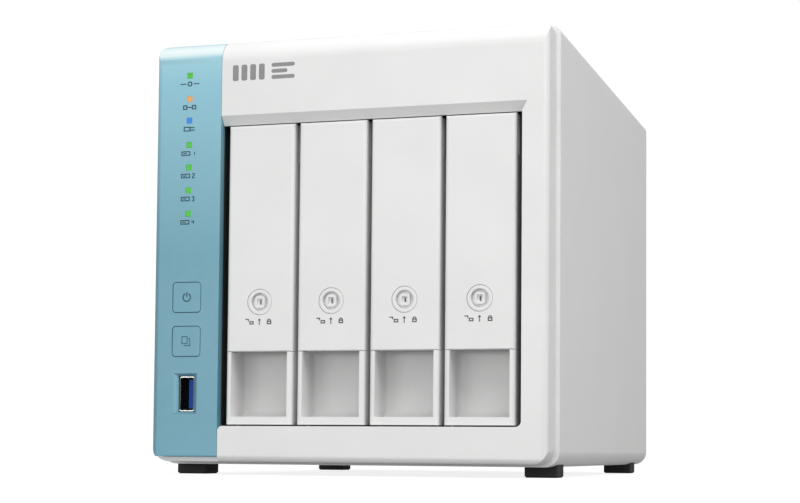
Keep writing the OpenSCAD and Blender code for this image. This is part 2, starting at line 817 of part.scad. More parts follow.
module main_board() {
  color("darkgreen")
  difference() {
    span([main_x, main_y0, main_z0], [main_face, main_y1, main_z1]);
    for (y = stand_y, z = stand_z) rod_x(y, z, 1.6, main_x - 1, main_face + 1);
  }
}

// Memory, storage, controllers and power coils on the board's inner face.
module board_chips() {
  x = main_face;
  color("#282828") {
    span([x, -32, 104], [x + 1.3, -18, 115]);
    span([x, -32, 120], [x + 1.3, -18, 131]);
    span([x, 4, 118], [x + 1.2, 15, 130]);
    span([x, 78, 118], [x + 1.4, 86, 126]);
    span([x, 78, 100], [x + 1.4, 86, 108]);
    for (k = [0 : 2]) span([x, -58 + k * 14, 40], [x + 4, -48 + k * 14, 50]);
    for (k = [0 : 3]) rod_x(74, 30 + k * 9, 3, x, x + 8);
    span([x, rear_out - 11, reset_z - 3], [x + 6, rear_out - 6.6, reset_z + 3]);
  }
}

// Finned heatsink on the processor.
module cpu_heatsink() {
  x = main_face + 2;
  color("silver") {
    span([x - 2, -12, 66], [x, 8, 86]);
    span([x, -22, 56], [x + 2, 18, 96]);
    for (k = [0 : 7]) span([x + 2 - e, -22 + k * 5.5, 56], [x + 11, -20.5 + k * 5.5, 96]);
  }
}

module coin_cell() {
  color("silver") {
    span([main_face, -62, 112], [main_face + 1.2, -40, 134]);
    rod_x(-51, 123, 10, main_face + 1.2 - e, main_face + 4.4);
  }
}

module buzzer() {
  color("#202020")
  difference() {
    rod_x(-50, 80, 5, main_face, main_face + 5);
    rod_x(-50, 80, 1, main_face + 3, main_face + 6);
  }
}

// Two network sockets with their mouths in the rear wall.
module lan_ports() {
  x0 = main_face;
  x1 = main_face + 13.4;
  color("silver")
  for (z = lan_z)
    difference() {
      span([x0, rear_out - 21, z - 8], [x1, rear_out, z + 8]);
      span([x0 + 2.6, rear_out - 13, z - 5.9], [x0 + 9.4, rear_out + 1, z + 5.9]);
      span([x0 + 9.3, rear_out - 13, z - 3.1], [x0 + 11.4, rear_out + 1, z + 3.1]);
    }
}

module rear_usb_shells() {
  color("silver")
  for (z = rear_usb_z) usb_shell(main_face + usb_w / 2, z, rear_out - 14, rear_out);
}

module rear_usb_tongues() {
  color("royalblue")
  for (z = rear_usb_z) usb_tongue(main_face + usb_w / 2, z, rear_out, rear_out - 14, 1);
}

// Power inlet: round barrel socket with its centre pin.
module dc_jack() {
  x = main_face + 6;
  y1 = rear_out;
  color("#1c1c1c") {
    difference() {
      union() {
        span([main_face, y1 - 14, dc_z - 5], [main_face + 11, y1 - 1.2, dc_z + 5]);
        rod_y(x, dc_z, 4.4, y1 - 1.3, y1);
      }
      rod_y(x, dc_z, 3.2, y1 - 10, y1 + 1);
    }
    rod_y(x, dc_z, 1, y1 - 10.5, y1 - 1);
  }
}

// Recessed reset button with its switch body behind.
module reset_button() {
  color("#303030") rod_y(main_face + 3.5, reset_z, 1.4, rear_out - 6, rear_out - 0.2);
}

// ---------- fan ----------

// Fan frame: square body, round bore, four struts and the bearing hub at the rear.
module fan_frame() {
  h = fan_w / 2;
  strut_t = 3;
  y_strut = rear_in - strut_t;
  color("#2b2b2b")
  translate([fan_x, 0, fan_z])
  difference() {
    union() {
      difference() {
        along_y(fan_y0, rear_in) plate_outline([-h, -h], [h, h], [5, 5, 5, 5]);
        rod_y(0, 0, fan_bore, fan_y0 - 1, rear_in + 1);
      }
      rod_y(0, 0, hub_r + 1, y_strut, rear_in);
      for (a = [0, 90, 180, 270]) rotate([0, a, 0]) span([hub_r, y_strut, -1.5], [fan_bore + 1, rear_in, 1.5]);
    }
    rod_y(0, 0, 1.65, y_strut - 1, rear_in - 0.6);
    for (a = [-1, 1], b = [-1, 1]) rod_y(a * fan_hole, b * fan_hole, 2.15, fan_y0 - 1, rear_in + 1);
  }
}

// Rotor: hub with pitched blades and a shaft in the frame's bearing.
module fan_rotor() {
  y0 = fan_y0 + 2;
  y1 = rear_in - 3.4;
  color("#3a3a3a")
  translate([fan_x, 0, fan_z]) {
    rod_y(0, 0, hub_r, y0, y1);
    rod_y(0, 0, 1.6, y1 - e, rear_in - 1);
    intersection() {
      union() {
        for (k = [0 : blades - 1])
          rotate([0, k * 360 / blades, 0]) translate([0, (y0 + y1) / 2, 0])
            rotate([38, 0, 0]) translate([hub_r - 2, -0.8, -15]) cube([40, 1.6, 30]);
      }
      difference() {
        rod_y(0, 0, fan_bore - 2, y0 + 0.5, y1 - 0.5);
        rod_y(0, 0, hub_r - 1, y0 - 1, y1 + 1);
      }
    }
  }
}

module fan_screws() {
  color("#202020")
  for (a = [-1, 1], b = [-1, 1])
    translate([fan_x + a * fan_hole, 0, fan_z + b * fan_hole])
    difference() {
      union() {
        rod_y(0, 0, 3.6, rear_out, rear_out + 1.7);
        rod_y(0, 0, 2.05, rear_out - 9, rear_out + e);
      }
      span([-2, rear_out + 0.8, -0.35], [2, rear_y + 1, 0.35]);
      span([-0.35, rear_out + 0.8, -2], [0.35, rear_y + 1, 2]);
    }
}

// ---------- fixings ----------

module board_standoffs() {
  color("goldenrod")
  for (y = stand_y, z = stand_z)
    difference() {
      rod_x(y, z, 2.6, -pan_x + pan_t, main_x);
      rod_x(y, z, 1.5, -pan_x + pan_t - 1, main_x + 1);
    }
}

// Screws of the main board and of the cage's flanges.
module inner_screws() {
  color("silver") {
    for (y = stand_y, z = stand_z) {
      rod_x(y, z, 2.8, main_face, main_face + 1.7);
      rod_x(y, z, 1.45, main_x - 4, main_face + e);
    }
    for (p = cage_screw_places()) translate([p[0], p[1], 0]) {
      translate([0, 0, pan_z + 2 * pan_t]) cylinder(r = 2.8, h = 1.7);
      translate([0, 0, pan_z]) cylinder(r = 1.45, h = 2 * pan_t + e);
    }
  }
}

outer_cover();
base_pan();
cage_left_wall();
cage_right_wall();
cage_floor();
cage_roof();
rear_panel();
front_bezel();
bay_liner();
accent_panel();
status_light();
lan_light();
usb_light();
drive_lights();
power_button();
copy_button();
front_board();
front_switches();
front_usb_shell();
front_usb_tongue();
feet();
for (n = [1 : 4]) {
  tray(n);
  tray_lever(n);
  lock_ring(n);
  lock_plug(n);
  drive_clips(n);
}
backplane_board();
backplane_sockets();
backplane_slot();
main_board();
board_chips();
cpu_heatsink();
coin_cell();
buzzer();
lan_ports();
rear_usb_shells();
rear_usb_tongues();
dc_jack();
reset_button();
fan_frame();
fan_rotor();
fan_screws();
cover_screws();
board_standoffs();
inner_screws();
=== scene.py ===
"""Looks of the four-bay network storage enclosure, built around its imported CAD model."""

import json
import math
import random

import bmesh
import bpy
from mathutils import Matrix, Vector


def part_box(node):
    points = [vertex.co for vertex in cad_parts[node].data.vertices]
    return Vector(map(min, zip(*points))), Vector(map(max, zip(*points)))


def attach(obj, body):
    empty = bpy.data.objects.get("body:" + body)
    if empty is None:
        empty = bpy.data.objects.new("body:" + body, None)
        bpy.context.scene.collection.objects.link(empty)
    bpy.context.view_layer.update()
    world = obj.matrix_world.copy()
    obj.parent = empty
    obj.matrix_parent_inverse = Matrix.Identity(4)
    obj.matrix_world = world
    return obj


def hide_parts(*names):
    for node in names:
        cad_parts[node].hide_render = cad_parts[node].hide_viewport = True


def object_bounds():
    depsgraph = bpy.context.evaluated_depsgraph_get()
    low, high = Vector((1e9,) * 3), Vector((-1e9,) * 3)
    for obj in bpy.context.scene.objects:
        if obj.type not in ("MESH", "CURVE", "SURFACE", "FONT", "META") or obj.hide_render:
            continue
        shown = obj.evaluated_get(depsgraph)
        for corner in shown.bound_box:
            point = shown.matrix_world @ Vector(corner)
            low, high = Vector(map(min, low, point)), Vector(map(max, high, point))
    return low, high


MM = 0.001
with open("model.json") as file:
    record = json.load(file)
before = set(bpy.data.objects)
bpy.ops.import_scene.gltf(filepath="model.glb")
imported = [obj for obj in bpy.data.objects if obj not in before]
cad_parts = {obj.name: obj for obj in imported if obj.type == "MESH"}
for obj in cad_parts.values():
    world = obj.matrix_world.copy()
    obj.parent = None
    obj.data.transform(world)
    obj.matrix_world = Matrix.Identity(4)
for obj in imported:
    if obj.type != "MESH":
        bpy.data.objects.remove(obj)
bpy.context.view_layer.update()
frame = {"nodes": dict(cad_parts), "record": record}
NODES = frame["nodes"]
CASE_LOW, CASE_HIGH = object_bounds()
BAYS = (1, 2, 3, 4)


def node_middle(name):
    """Centre of a CAD node's box."""
    low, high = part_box(name)
    return (low + high) / 2


# ---------- camera ----------

CAMERA_PLACE = Vector((0.20851, CASE_LOW.y - 0.60383, 0.00998))
CAMERA_YAW = 0.29257
CAMERA_PITCH = 0.0546
CAMERA_ROLL = 0.00801
CAMERA_LENS = 76.55764
CAMERA_SENSOR = 36.0
CAMERA_SHIFT = (-0.01378, 0.13213)


def add_camera():
    """Camera low in front of the object's right corner, looking slightly up at it."""
    data = bpy.data.cameras.new("camera")
    data.lens = CAMERA_LENS
    data.sensor_width = CAMERA_SENSOR
    data.shift_x, data.shift_y = CAMERA_SHIFT
    camera = bpy.data.objects.new("camera", data)
    bpy.context.scene.collection.objects.link(camera)
    right = Vector((math.cos(CAMERA_YAW), math.sin(CAMERA_YAW), 0))
    ahead = Vector((
        -math.sin(CAMERA_YAW) * math.cos(CAMERA_PITCH),
        math.cos(CAMERA_YAW) * math.cos(CAMERA_PITCH),
        math.sin(CAMERA_PITCH),
    ))
    up = right.cross(ahead)
    rolled_right = right * math.cos(CAMERA_ROLL) + up * math.sin(CAMERA_ROLL)
    rolled_up = up * math.cos(CAMERA_ROLL) - right * math.sin(CAMERA_ROLL)
    turn = Matrix((rolled_right, rolled_up, -ahead)).transposed()
    camera.matrix_world = Matrix.Translation(CAMERA_PLACE) @ turn.to_4x4()
    bpy.context.scene.camera = camera


add_camera()


# ---------- materials ----------

def node_tree(name):
    """A new material with a Principled shader; returns the material, its tree and the shader."""
    material = bpy.data.materials.new(name)
    material.use_nodes = True
    tree = material.node_tree
    return material, tree, tree.nodes["Principled BSDF"]


def noise(tree, scale, detail=3.0, stretch=(1, 1, 1)):
    """Noise in object space, at so many cells a metre, and stretched if asked."""
    place = tree.nodes.new("ShaderNodeTexCoord")
    mapping = tree.nodes.new("ShaderNodeMapping")
    mapping.inputs["Scale"].default_value = stretch
    texture = tree.nodes.new("ShaderNodeTexNoise")
    texture.inputs["Scale"].default_value = scale
    texture.inputs["Detail"].default_value = detail
    tree.links.new(place.outputs["Object"], mapping.inputs["Vector"])
    tree.links.new(mapping.outputs["Vector"], texture.inputs["Vector"])
    return texture.outputs["Fac"]


def ramp(tree, factor, low, high, start=0.3, end=0.7):
    """Colours or grey values from low to high across a factor."""
    blend = tree.nodes.new("ShaderNodeValToRGB")
    blend.color_ramp.elements[0].position = start
    blend.color_ramp.elements[1].position = end
    blend.color_ramp.elements[0].color = low if len(low) == 4 else (*low, 1)
    blend.color_ramp.elements[1].color = high if len(high) == 4 else (*high, 1)
    tree.links.new(factor, blend.inputs["Fac"])
    return blend.outputs["Color"]


def grey(value):
    return (value, value, value, 1)


def scaled(color, factor):
    return tuple(min(1.0, c * factor) for c in color)


def bump(tree, shader, height, strength, distance):
    """Relief from a height value; distance in metres."""
    relief = tree.nodes.new("ShaderNodeBump")
    relief.inputs["Strength"].default_value = strength
    relief.inputs["Distance"].default_value = distance
    tree.links.new(height, relief.inputs["Height"])
    tree.links.new(relief.outputs["Normal"], shader.inputs["Normal"])


def tint(tree, shader, factor, color, low, high):
    """Base colour between two strengths of one colour."""
    shade = ramp(tree, factor, scaled(color, low), scaled(color, high))
    tree.links.new(shade, shader.inputs["Base Color"])


def roughen(tree, shader, factor, low, high):
    """Roughness between two values."""
    tree.links.new(ramp(tree, factor, grey(low), grey(high)), shader.inputs["Roughness"])


def object_axis(tree, axis):
    """One of the object's own coordinates, in metres."""
    place = tree.nodes.new("ShaderNodeTexCoord")
    split = tree.nodes.new("ShaderNodeSeparateXYZ")
    tree.links.new(place.outputs["Object"], split.inputs["Vector"])
    return split.outputs[axis]


def share_of(tree, value, low, high):
    """How far a value lies between two others, from 0 to 1."""
    share = tree.nodes.new("ShaderNodeMapRange")
    share.inputs["From Min"].default_value = low
    share.inputs["From Max"].default_value = high
    tree.links.new(value, share.inputs["Value"])
    return share.outputs["Result"]


def calculated(tree, operation, first, second=0.0):
    """One step of arithmetic on a value and a number or another value."""
    step = tree.nodes.new("ShaderNodeMath")
    step.operation = operation
    tree.links.new(first, step.inputs[0])
    if isinstance(second, float):
        step.inputs[1].default_value = second
    else:
        tree.links.new(second, step.inputs[1])
    return step.outputs[0]


def blended(tree, kind, factor, base, shade):
    """Two colours blended; factor and shade may be plain numbers or other values."""
    mix = tree.nodes.new("ShaderNodeMix")
    mix.data_type = "RGBA"
    mix.blend_type = kind
    for socket, value in ((mix.inputs["Factor"], factor), (mix.inputs[6], base), (mix.inputs[7], shade)):
        if isinstance(value, (float, tuple)):
            socket.default_value = value
        else:
            tree.links.new(value, socket)
    return mix.outputs[2]


def moulded(name, color, roughness=0.45, grain=2600, depth=0.00002, spread=0.02, gloss=0.5):
    """Injection-moulded plastic: even colour with faint clouding and a fine spark-eroded grain."""
    material, tree, shader = node_tree(name)
    tint(tree, shader, noise(tree, 40, 4), color, 1 - spread, 1 + spread)
    roughen(tree, shader, noise(tree, 180, 5), roughness - 0.05, roughness + 0.05)
    bump(tree, shader, noise(tree, grain, 2), 0.35, depth)
    shader.inputs["Specular IOR Level"].default_value = gloss
    return material


def powder_coat(name, color, roughness=0.48):
    """Powder-coated sheet steel with a slight orange peel."""
    material, tree, shader = node_tree(name)
    tint(tree, shader, noise(tree, 22, 3), color, 0.985, 1.012)
    roughen(tree, shader, noise(tree, 260, 3), roughness - 0.05, roughness + 0.06)
    bump(tree, shader, noise(tree, 1100, 2), 0.4, 0.00003)
    return material


def satin_paint_with_painted_light(name, color, mid_color, top_color):
    """Satin paint of the control strip with painted light: lighter towards both ends, and a painted
    highlight on its rounded top.
    """
    material, tree, shader = node_tree(name)
    rise = share_of(tree, object_axis(tree, "Z"), CASE_LOW.z, CASE_HIGH.z)
    # Painted shading: the colour rises and falls with height, the way the lamps light the strip.
    base = ramp(tree, rise, scaled(color, 1.12), top_color, 0.0, 1.0)
    bright_mid = scaled(mid_color, 1.17)
    for height, shade in ((0.14, color), (0.5, color), (0.77, mid_color), (0.9, bright_mid)):
        base.node.color_ramp.elements.new(height).color = (*shade, 1)
    # Painted highlight: a pale band where the rounded top leans upwards, only near the top of the strip.
    facing = tree.nodes.new("ShaderNodeNewGeometry")
    tilt = tree.nodes.new("ShaderNodeSeparateXYZ")
    tree.links.new(facing.outputs["Normal"], tilt.inputs["Vector"])
    highlight_band = ramp(tree, tilt.outputs["Z"], grey(0.0), grey(0.0), 0.25, 0.95)
    for lean, share in ((0.43, 0.8), (0.62, 1.0), (0.81, 0.8)):
        highlight_band.node.color_ramp.elements.new(lean).color = grey(share)
    near_top = ramp(tree, rise, grey(0.0), grey(1.0), 0.90, 0.94)
    amount = calculated(tree, "MULTIPLY", highlight_band, near_top)
    painted = blended(tree, "MIX", amount, base, (*PAINTED_HIGHLIGHT, 1))
    flake = ramp(tree, noise(tree, 5200, 1), grey(0.97), grey(1.0))
    tree.links.new(blended(tree, "MULTIPLY", 1.0, painted, flake), shader.inputs["Base Color"])
    roughen(tree, shader, noise(tree, 300, 3), 0.36, 0.42)
    bump(tree, shader, noise(tree, 3000, 2), 0.25, 0.00001)
    shader.inputs["Metallic"].default_value = 0.2
    shader.inputs["Coat Weight"].default_value = 0.15
    shader.inputs["Coat Roughness"].default_value = 0.3
    return material


def metal(name, color, roughness, stretch=(1, 1, 1), grain=900, depth=0.000012):
    """Bare or plated metal; a stretch along one axis gives it a brushed direction."""
    material, tree, shader = node_tree(name)
    tint(tree, shader, noise(tree, 60, 4), color, 0.9, 1.06)
    roughen(tree, shader, noise(tree, grain, 4, stretch), roughness - 0.08, roughness + 0.1)
    bump(tree, shader, noise(tree, grain, 3, stretch), 0.3, depth)
    shader.inputs["Metallic"].default_value = 1.0
    return material


def paint_shade_inwards(material, start_y, end_y, factor):
    """Paints shade into a moulding's colour: a little darker from its front face inwards, where its
    recesses lie in shadow.
    """
    tree = material.node_tree
    target = tree.nodes["Principled BSDF"].inputs["Base Color"]
    base = target.links[0].from_socket
    depth = share_of(tree, object_axis(tree, "Y"), start_y, end_y)
    shade = ramp(tree, depth, grey(1.0), grey(factor), 0.0, 1.0)
    tree.links.new(blended(tree, "MULTIPLY", 1.0, base, shade), target)


def stamped_shell(name, color, side_color):
    """Plated shell of the front socket; its two long sides are painted darker than its short ends, as
    painted shade.
    """
    material, tree, shader = node_tree(name)
    low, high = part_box("front_usb_shell")
    half = (high.z - low.z) / 2
    offset = calculated(tree, "SUBTRACT", object_axis(tree, "Z"), (low.z + high.z) / 2)
    reach = calculated(tree, "ABSOLUTE", offset)
    end = share_of(tree, reach, half - 0.7 * MM, half - 0.3 * MM)
    tree.links.new(ramp(tree, end, side_color, color, 0.0, 1.0), shader.inputs["Base Color"])
    roughen(tree, shader, noise(tree, 900, 4), 0.24, 0.4)
    bump(tree, shader, noise(tree, 900, 3), 0.3, 0.000012)
    shader.inputs["Metallic"].default_value = 1.0
    return material


def spangle(name, color):
    """Zinc-plated sheet with a faint crystal pattern."""
    material, tree, shader = node_tree(name)
    place = tree.nodes.new("ShaderNodeTexCoord")
    cells = tree.nodes.new("ShaderNodeTexVoronoi")
    cells.inputs["Scale"].default_value = 140
    tree.links.new(place.outputs["Object"], cells.inputs["Vector"])
    crystals = ramp(tree, cells.outputs["Color"], scaled(color, 0.88), scaled(color, 1.05), 0.0, 1.0)
    tree.links.new(crystals, shader.inputs["Base Color"])
    roughen(tree, shader, noise(tree, 500, 4), 0.32, 0.5)
    bump(tree, shader, noise(tree, 700, 2), 0.2, 0.00001)
    shader.inputs["Metallic"].default_value = 0.9
    return material


def circuit(name):
    """Green solder mask with copper tracks showing through as lighter lines."""
    material, tree, shader = node_tree(name)
    place = tree.nodes.new("ShaderNodeTexCoord")
    brick = tree.nodes.new("ShaderNodeTexBrick")
    brick.inputs["Scale"].default_value = 260
    brick.inputs["Mortar Size"].default_value = 0.05
    brick.inputs["Color1"].default_value = (0.010, 0.085, 0.045, 1)
    brick.inputs["Color2"].default_value = (0.014, 0.105, 0.058, 1)
    brick.inputs["Mortar"].default_value = (0.035, 0.20, 0.10, 1)
    turn = tree.nodes.new("ShaderNodeMapping")
    turn.inputs["Rotation"].default_value = (math.radians(90), math.radians(35), math.radians(90))
    tree.links.new(place.outputs["Object"], turn.inputs["Vector"])
    tree.links.new(turn.outputs["Vector"], brick.inputs["Vector"])
    tree.links.new(brick.outputs["Color"], shader.inputs["Base Color"])
    roughen(tree, shader, noise(tree, 400, 3), 0.28, 0.4)
    bump(tree, shader, brick.outputs["Fac"], 0.3, 0.00002)
    return material


def lit(name, color, strength):
    """Frosted light pipe with its lamp on; its grain varies the glow a little."""
    material, tree, shader = node_tree(name)
    glow = ramp(tree, noise(tree, 1500, 2), scaled(color, 0.8), scaled(color, 1.0))
    tree.links.new(glow, shader.inputs["Base Color"])
    tree.links.new(glow, shader.inputs["Emission Color"])
    shader.inputs["Emission Strength"].default_value = strength
    shader.inputs["Roughness"].default_value = 0.35
    bump(tree, shader, noise(tree, 3500, 2), 0.3, 0.00001)
    return material


def ink(name, color):
    """Screen-printed ink, slightly uneven."""
    material, tree, shader = node_tree(name)
    tint(tree, shader, noise(tree, 2400, 3), color, 0.92, 1.1)
    roughen(tree, shader, noise(tree, 900, 2), 0.5, 0.65)
    return material


WHITE = (0.84, 0.84, 0.835)
# Teal of the strip at its bottom, middle and top; the lighter upper tones are painted light from the
# overhead lamps.
TEAL_LOW = (0.164, 0.372, 0.464)
TEAL_MID = (0.258, 0.515, 0.615)
TEAL_HIGH = (0.440, 0.740, 0.820)
# Colour of the painted highlight on the strip's rounded top.
PAINTED_HIGHLIGHT = (0.86, 0.95, 0.96)
PLATING = (0.76, 0.76, 0.75)

MATERIALS = {
    "painted_steel": powder_coat("painted_steel", WHITE),
    "grey_steel": spangle("grey_steel", (0.62, 0.63, 0.64)),
    "zinc_steel": spangle("zinc_steel", (0.66, 0.67, 0.68)),
    "white_plastic": moulded("white_plastic", WHITE, 0.42),
    "blue_green_plastic": satin_paint_with_painted_light("blue_green_plastic", TEAL_LOW, TEAL_MID, TEAL_HIGH),
    "green_light": lit("green_light", (0.050, 0.350, 0.034), 0.7),
    "amber_light": lit("amber_light", (0.540, 0.260, 0.080), 0.7),
    "blue_light": lit("blue_light", (0.028, 0.160, 0.500), 0.7),
    "circuit_board": circuit("circuit_board"),
    "black_plastic": moulded("black_plastic", (0.022, 0.022, 0.023), 0.5, 1800),
    "fan_plastic": moulded("fan_plastic", (0.026, 0.026, 0.028), 0.42, 1500),
    "grey_plastic": moulded("grey_plastic", (0.16, 0.165, 0.17), 0.5),
    "blue_plastic": moulded("blue_plastic", (0.008, 0.060, 0.32), 0.35, 2200, gloss=0.12),
    "plated_steel": metal("plated_steel", PLATING, 0.28),
    "black_steel": metal("black_steel", (0.06, 0.06, 0.062), 0.4),
    "brass": metal("brass", (0.72, 0.53, 0.22), 0.3),
    "aluminium": metal("aluminium", (0.80, 0.81, 0.82), 0.34, (1, 1, 8)),
    "black_rubber": moulded("black_rubber", (0.018, 0.018, 0.018), 0.75, 1400, 0.00004, 0.1),
}
TRAY_PLASTIC = moulded("tray_plastic", WHITE, 0.42)
TRAY_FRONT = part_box("tray_1")[0].y
# Painted shade in the trays' pockets: the colour darkens from 1.5 mm to 9 mm behind the tray front.
paint_shade_inwards(TRAY_PLASTIC, TRAY_FRONT + 1.5 * MM, TRAY_FRONT + 9 * MM, 0.86)
# The socket shell's dark long sides are painted shade.
SOCKET_SHELL = stamped_shell("socket_shell", PLATING, (0.085, 0.095, 0.095))
GOLD = metal("gold_contact", (0.95, 0.70, 0.26), 0.22)
GREY_INK = ink("grey_ink", (0.28, 0.28, 0.285))
LOCK_INK = ink("lock_ink", (0.085, 0.085, 0.09))
TEAL_INK = ink("teal_ink", (0.025, 0.085, 0.12))
BLACK_CHIP = moulded("chip_epoxy", (0.02, 0.02, 0.021), 0.55, 3000)
CERAMIC = moulded("ceramic", (0.42, 0.33, 0.24), 0.4, 3000)
SOLDER = metal("solder", (0.74, 0.75, 0.76), 0.25)
WIRE_COLORS = {
    "red": moulded("wire_red", (0.50, 0.02, 0.02), 0.4),
    "black": moulded("wire_black", (0.02, 0.02, 0.02), 0.4),
    "yellow": moulded("wire_yellow", (0.75, 0.52, 0.03), 0.4),
}
PORT_GREEN = lit("port_green", (0.10, 0.55, 0.08), 0.3)
PORT_AMBER = lit("port_amber", (0.80, 0.42, 0.08), 0.3)


# ---------- carried-over CAD nodes ----------

EDGE_WIDTHS = {
    "outer_cover": 0.25,
    "front_bezel": 0.65,
    "accent_panel": 0.3,
    "feet": 0.5,
    "base_pan": 0.2,
    "rear_panel": 0,
    "cage_left_wall": 0.2,
    "cage_right_wall": 0.2,
    "fan_frame": 0.4,
    "fan_screws": 0.3,
    "cover_screws": 0.2,
    "power_button": 0.2,
    "copy_button": 0.2,
    "cpu_heatsink": 0.1,
    "coin_cell": 0.3,
}
EDGE_WIDTHS.update({f"tray_{n}": 0.4 for n in BAYS})
EDGE_WIDTHS.update({f"tray_lever_{n}": 0.4 for n in BAYS})
EDGE_WIDTHS.update({f"lock_ring_{n}": 0.3 for n in BAYS})
EDGE_WIDTHS.update({f"lock_plug_{n}": 0.2 for n in BAYS})
DEFAULT_EDGE = 0.12


def soften(obj, width):
    """Joins split points; a width in metres also merges flat faces and rounds sharp edges."""
    weld = obj.modifiers.new("weld", "WELD")
    weld.merge_threshold = 0.000002
    if width > 0:
        flat = obj.modifiers.new("flat", "DECIMATE")
        flat.decimate_type = "DISSOLVE"
        flat.angle_limit = math.radians(0.6)
        edge = obj.modifiers.new("edge", "BEVEL")
        edge.width = width
        edge.segments = 3
        edge.limit_method = "ANGLE"
        edge.angle_limit = math.radians(32)
        edge.use_clamp_overlap = True
    shade = obj.modifiers.new("shade", "WEIGHTED_NORMAL")
    shade.keep_sharp = False


SLOTS = {part["node"]: part["material_slot"] for part in frame["record"]["subparts"]}
OWN_FINISH = {f"tray_{n}": TRAY_PLASTIC for n in BAYS}
OWN_FINISH["front_usb_shell"] = SOCKET_SHELL

for node_name, node in NODES.items():
    node.data.materials.clear()
    node.data.materials.append(OWN_FINISH.get(node_name, MATERIALS[SLOTS[node_name]]))
    soften(node, EDGE_WIDTHS.get(node_name, DEFAULT_EDGE) * MM)


# ---------- mesh helpers ----------

def mesh_piece(name, mesh_data, material, body):
    """Turns bmesh data into a piece that rides on a body."""
    mesh = bpy.data.meshes.new(name)
    bmesh.ops.recalc_face_normals(mesh_data, faces=mesh_data.faces)
    mesh_data.to_mesh(mesh)
    mesh_data.free()
    mesh.materials.append(material)
    piece = bpy.data.objects.new(name, mesh)
    bpy.context.scene.collection.objects.link(piece)
    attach(piece, body)
    return piece


def add_prism(mesh_data, outline, place, depth):
    """Extrudes a 2D outline; place(u, v, w) turns sheet coordinates into the frame's."""
    near = [mesh_data.verts.new(place(u, v, 0)) for u, v in outline]
    far = [mesh_data.verts.new(place(u, v, depth)) for u, v in outline]
    mesh_data.faces.new(near)
    mesh_data.faces.new(list(reversed(far)))
    count = len(outline)
    for k in range(count):
        after = (k + 1) % count
        mesh_data.faces.new((near[k], far[k], far[after], near[after]))


def add_box(mesh_data, low, high):
    """A box between two corners."""
    outline = [(low[0], low[1]), (high[0], low[1]), (high[0], high[1]), (low[0], high[1])]
    add_prism(mesh_data, outline, lambda u, v, w: (u, v, low[2] + w), high[2] - low[2])


def rounded_box(u0, v0, u1, v1, radius, steps=5):
    """Outline of a rectangle with round corners."""
    points = []
    corners = ((u1 - radius, v0 + radius, -90), (u1 - radius, v1 - radius, 0),
               (u0 + radius, v1 - radius, 90), (u0 + radius, v0 + radius, 180))
    for cu, cv, start in corners:
        for k in range(steps + 1):
            angle = math.radians(start + 90 * k / steps)
            points.append((cu + radius * math.cos(angle), cv + radius * math.sin(angle)))
    return points


def arc_band(cu, cv, inner, outer, start, end, steps=20):
    """Outlines of a ring's sectors between two angles in degrees."""
    bands = []
    for k in range(steps):
        a = math.radians(start + (end - start) * k / steps)
        b = math.radians(start + (end - start) * (k + 1) / steps)
        bands.append([
            (cu + inner * math.cos(a), cv + inner * math.sin(a)),
            (cu + outer * math.cos(a), cv + outer * math.sin(a)),
            (cu + outer * math.cos(b), cv + outer * math.sin(b)),
            (cu + inner * math.cos(b), cv + inner * math.sin(b)),
        ])
    return bands


def box_frame(u0, v0, u1, v1, line):
    """Outlines of a hollow rectangle's four sides."""
    return [
        [(u0, v0), (u1, v0), (u1, v0 + line), (u0, v0 + line)],
        [(u0, v1 - line), (u1, v1 - line), (u1, v1), (u0, v1)],
        [(u0, v0 + line), (u0 + line, v0 + line), (u0 + line, v1 - line), (u0, v1 - line)],
        [(u1 - line, v0 + line), (u1, v0 + line), (u1, v1 - line), (u1 - line, v1 - line)],
    ]


def bar(u0, v0, u1, v1):
    return [(u0, v0), (u1, v0), (u1, v1), (u0, v1)]


INK_DEPTH = 0.03


def print_mark(name, outlines, middle, face_y, material, body, to_front=True):
    """Prints outlines, in millimetres about middle (x, z), on a face that looks forwards or back."""
    mesh_data = bmesh.new()
    side = 1 if to_front else -1

    def place(u, v, w):
        return (middle[0] + side * u * MM, face_y - side * w * MM, middle[1] + v * MM)

    for outline in outlines:
        add_prism(mesh_data, outline, place, INK_DEPTH)
    return mesh_piece(name, mesh_data, material, body)


# ---------- printed marks ----------

DIGIT_BARS = {
    1: ("up_right", "low_right"),
    2: ("top", "up_right", "middle", "low_left", "bottom"),
    3: ("top", "up_right", "middle", "low_right", "bottom"),
    4: ("up_left", "up_right", "middle", "low_right"),
}


def digit(number, u, v, height, line):
    """A digit from straight bars, its low left corner at u, v."""
    width = height * 0.55
    half = height / 2
    bars = {
        "top": bar(u, v + height - line, u + width, v + height),
        "middle": bar(u + line, v + half - line / 2, u + width - line, v + half + line / 2),
        "bottom": bar(u, v, u + width, v + line),
        "up_left": bar(u, v + half, u + line, v + height - line),
        "up_right": bar(u + width - line, v + half, u + width, v + height - line),
        "low_left": bar(u, v + line, u + line, v + half),
        "low_right": bar(u + width - line, v + line, u + width, v + half),
    }
    return [bars[part] for part in DIGIT_BARS[number]]


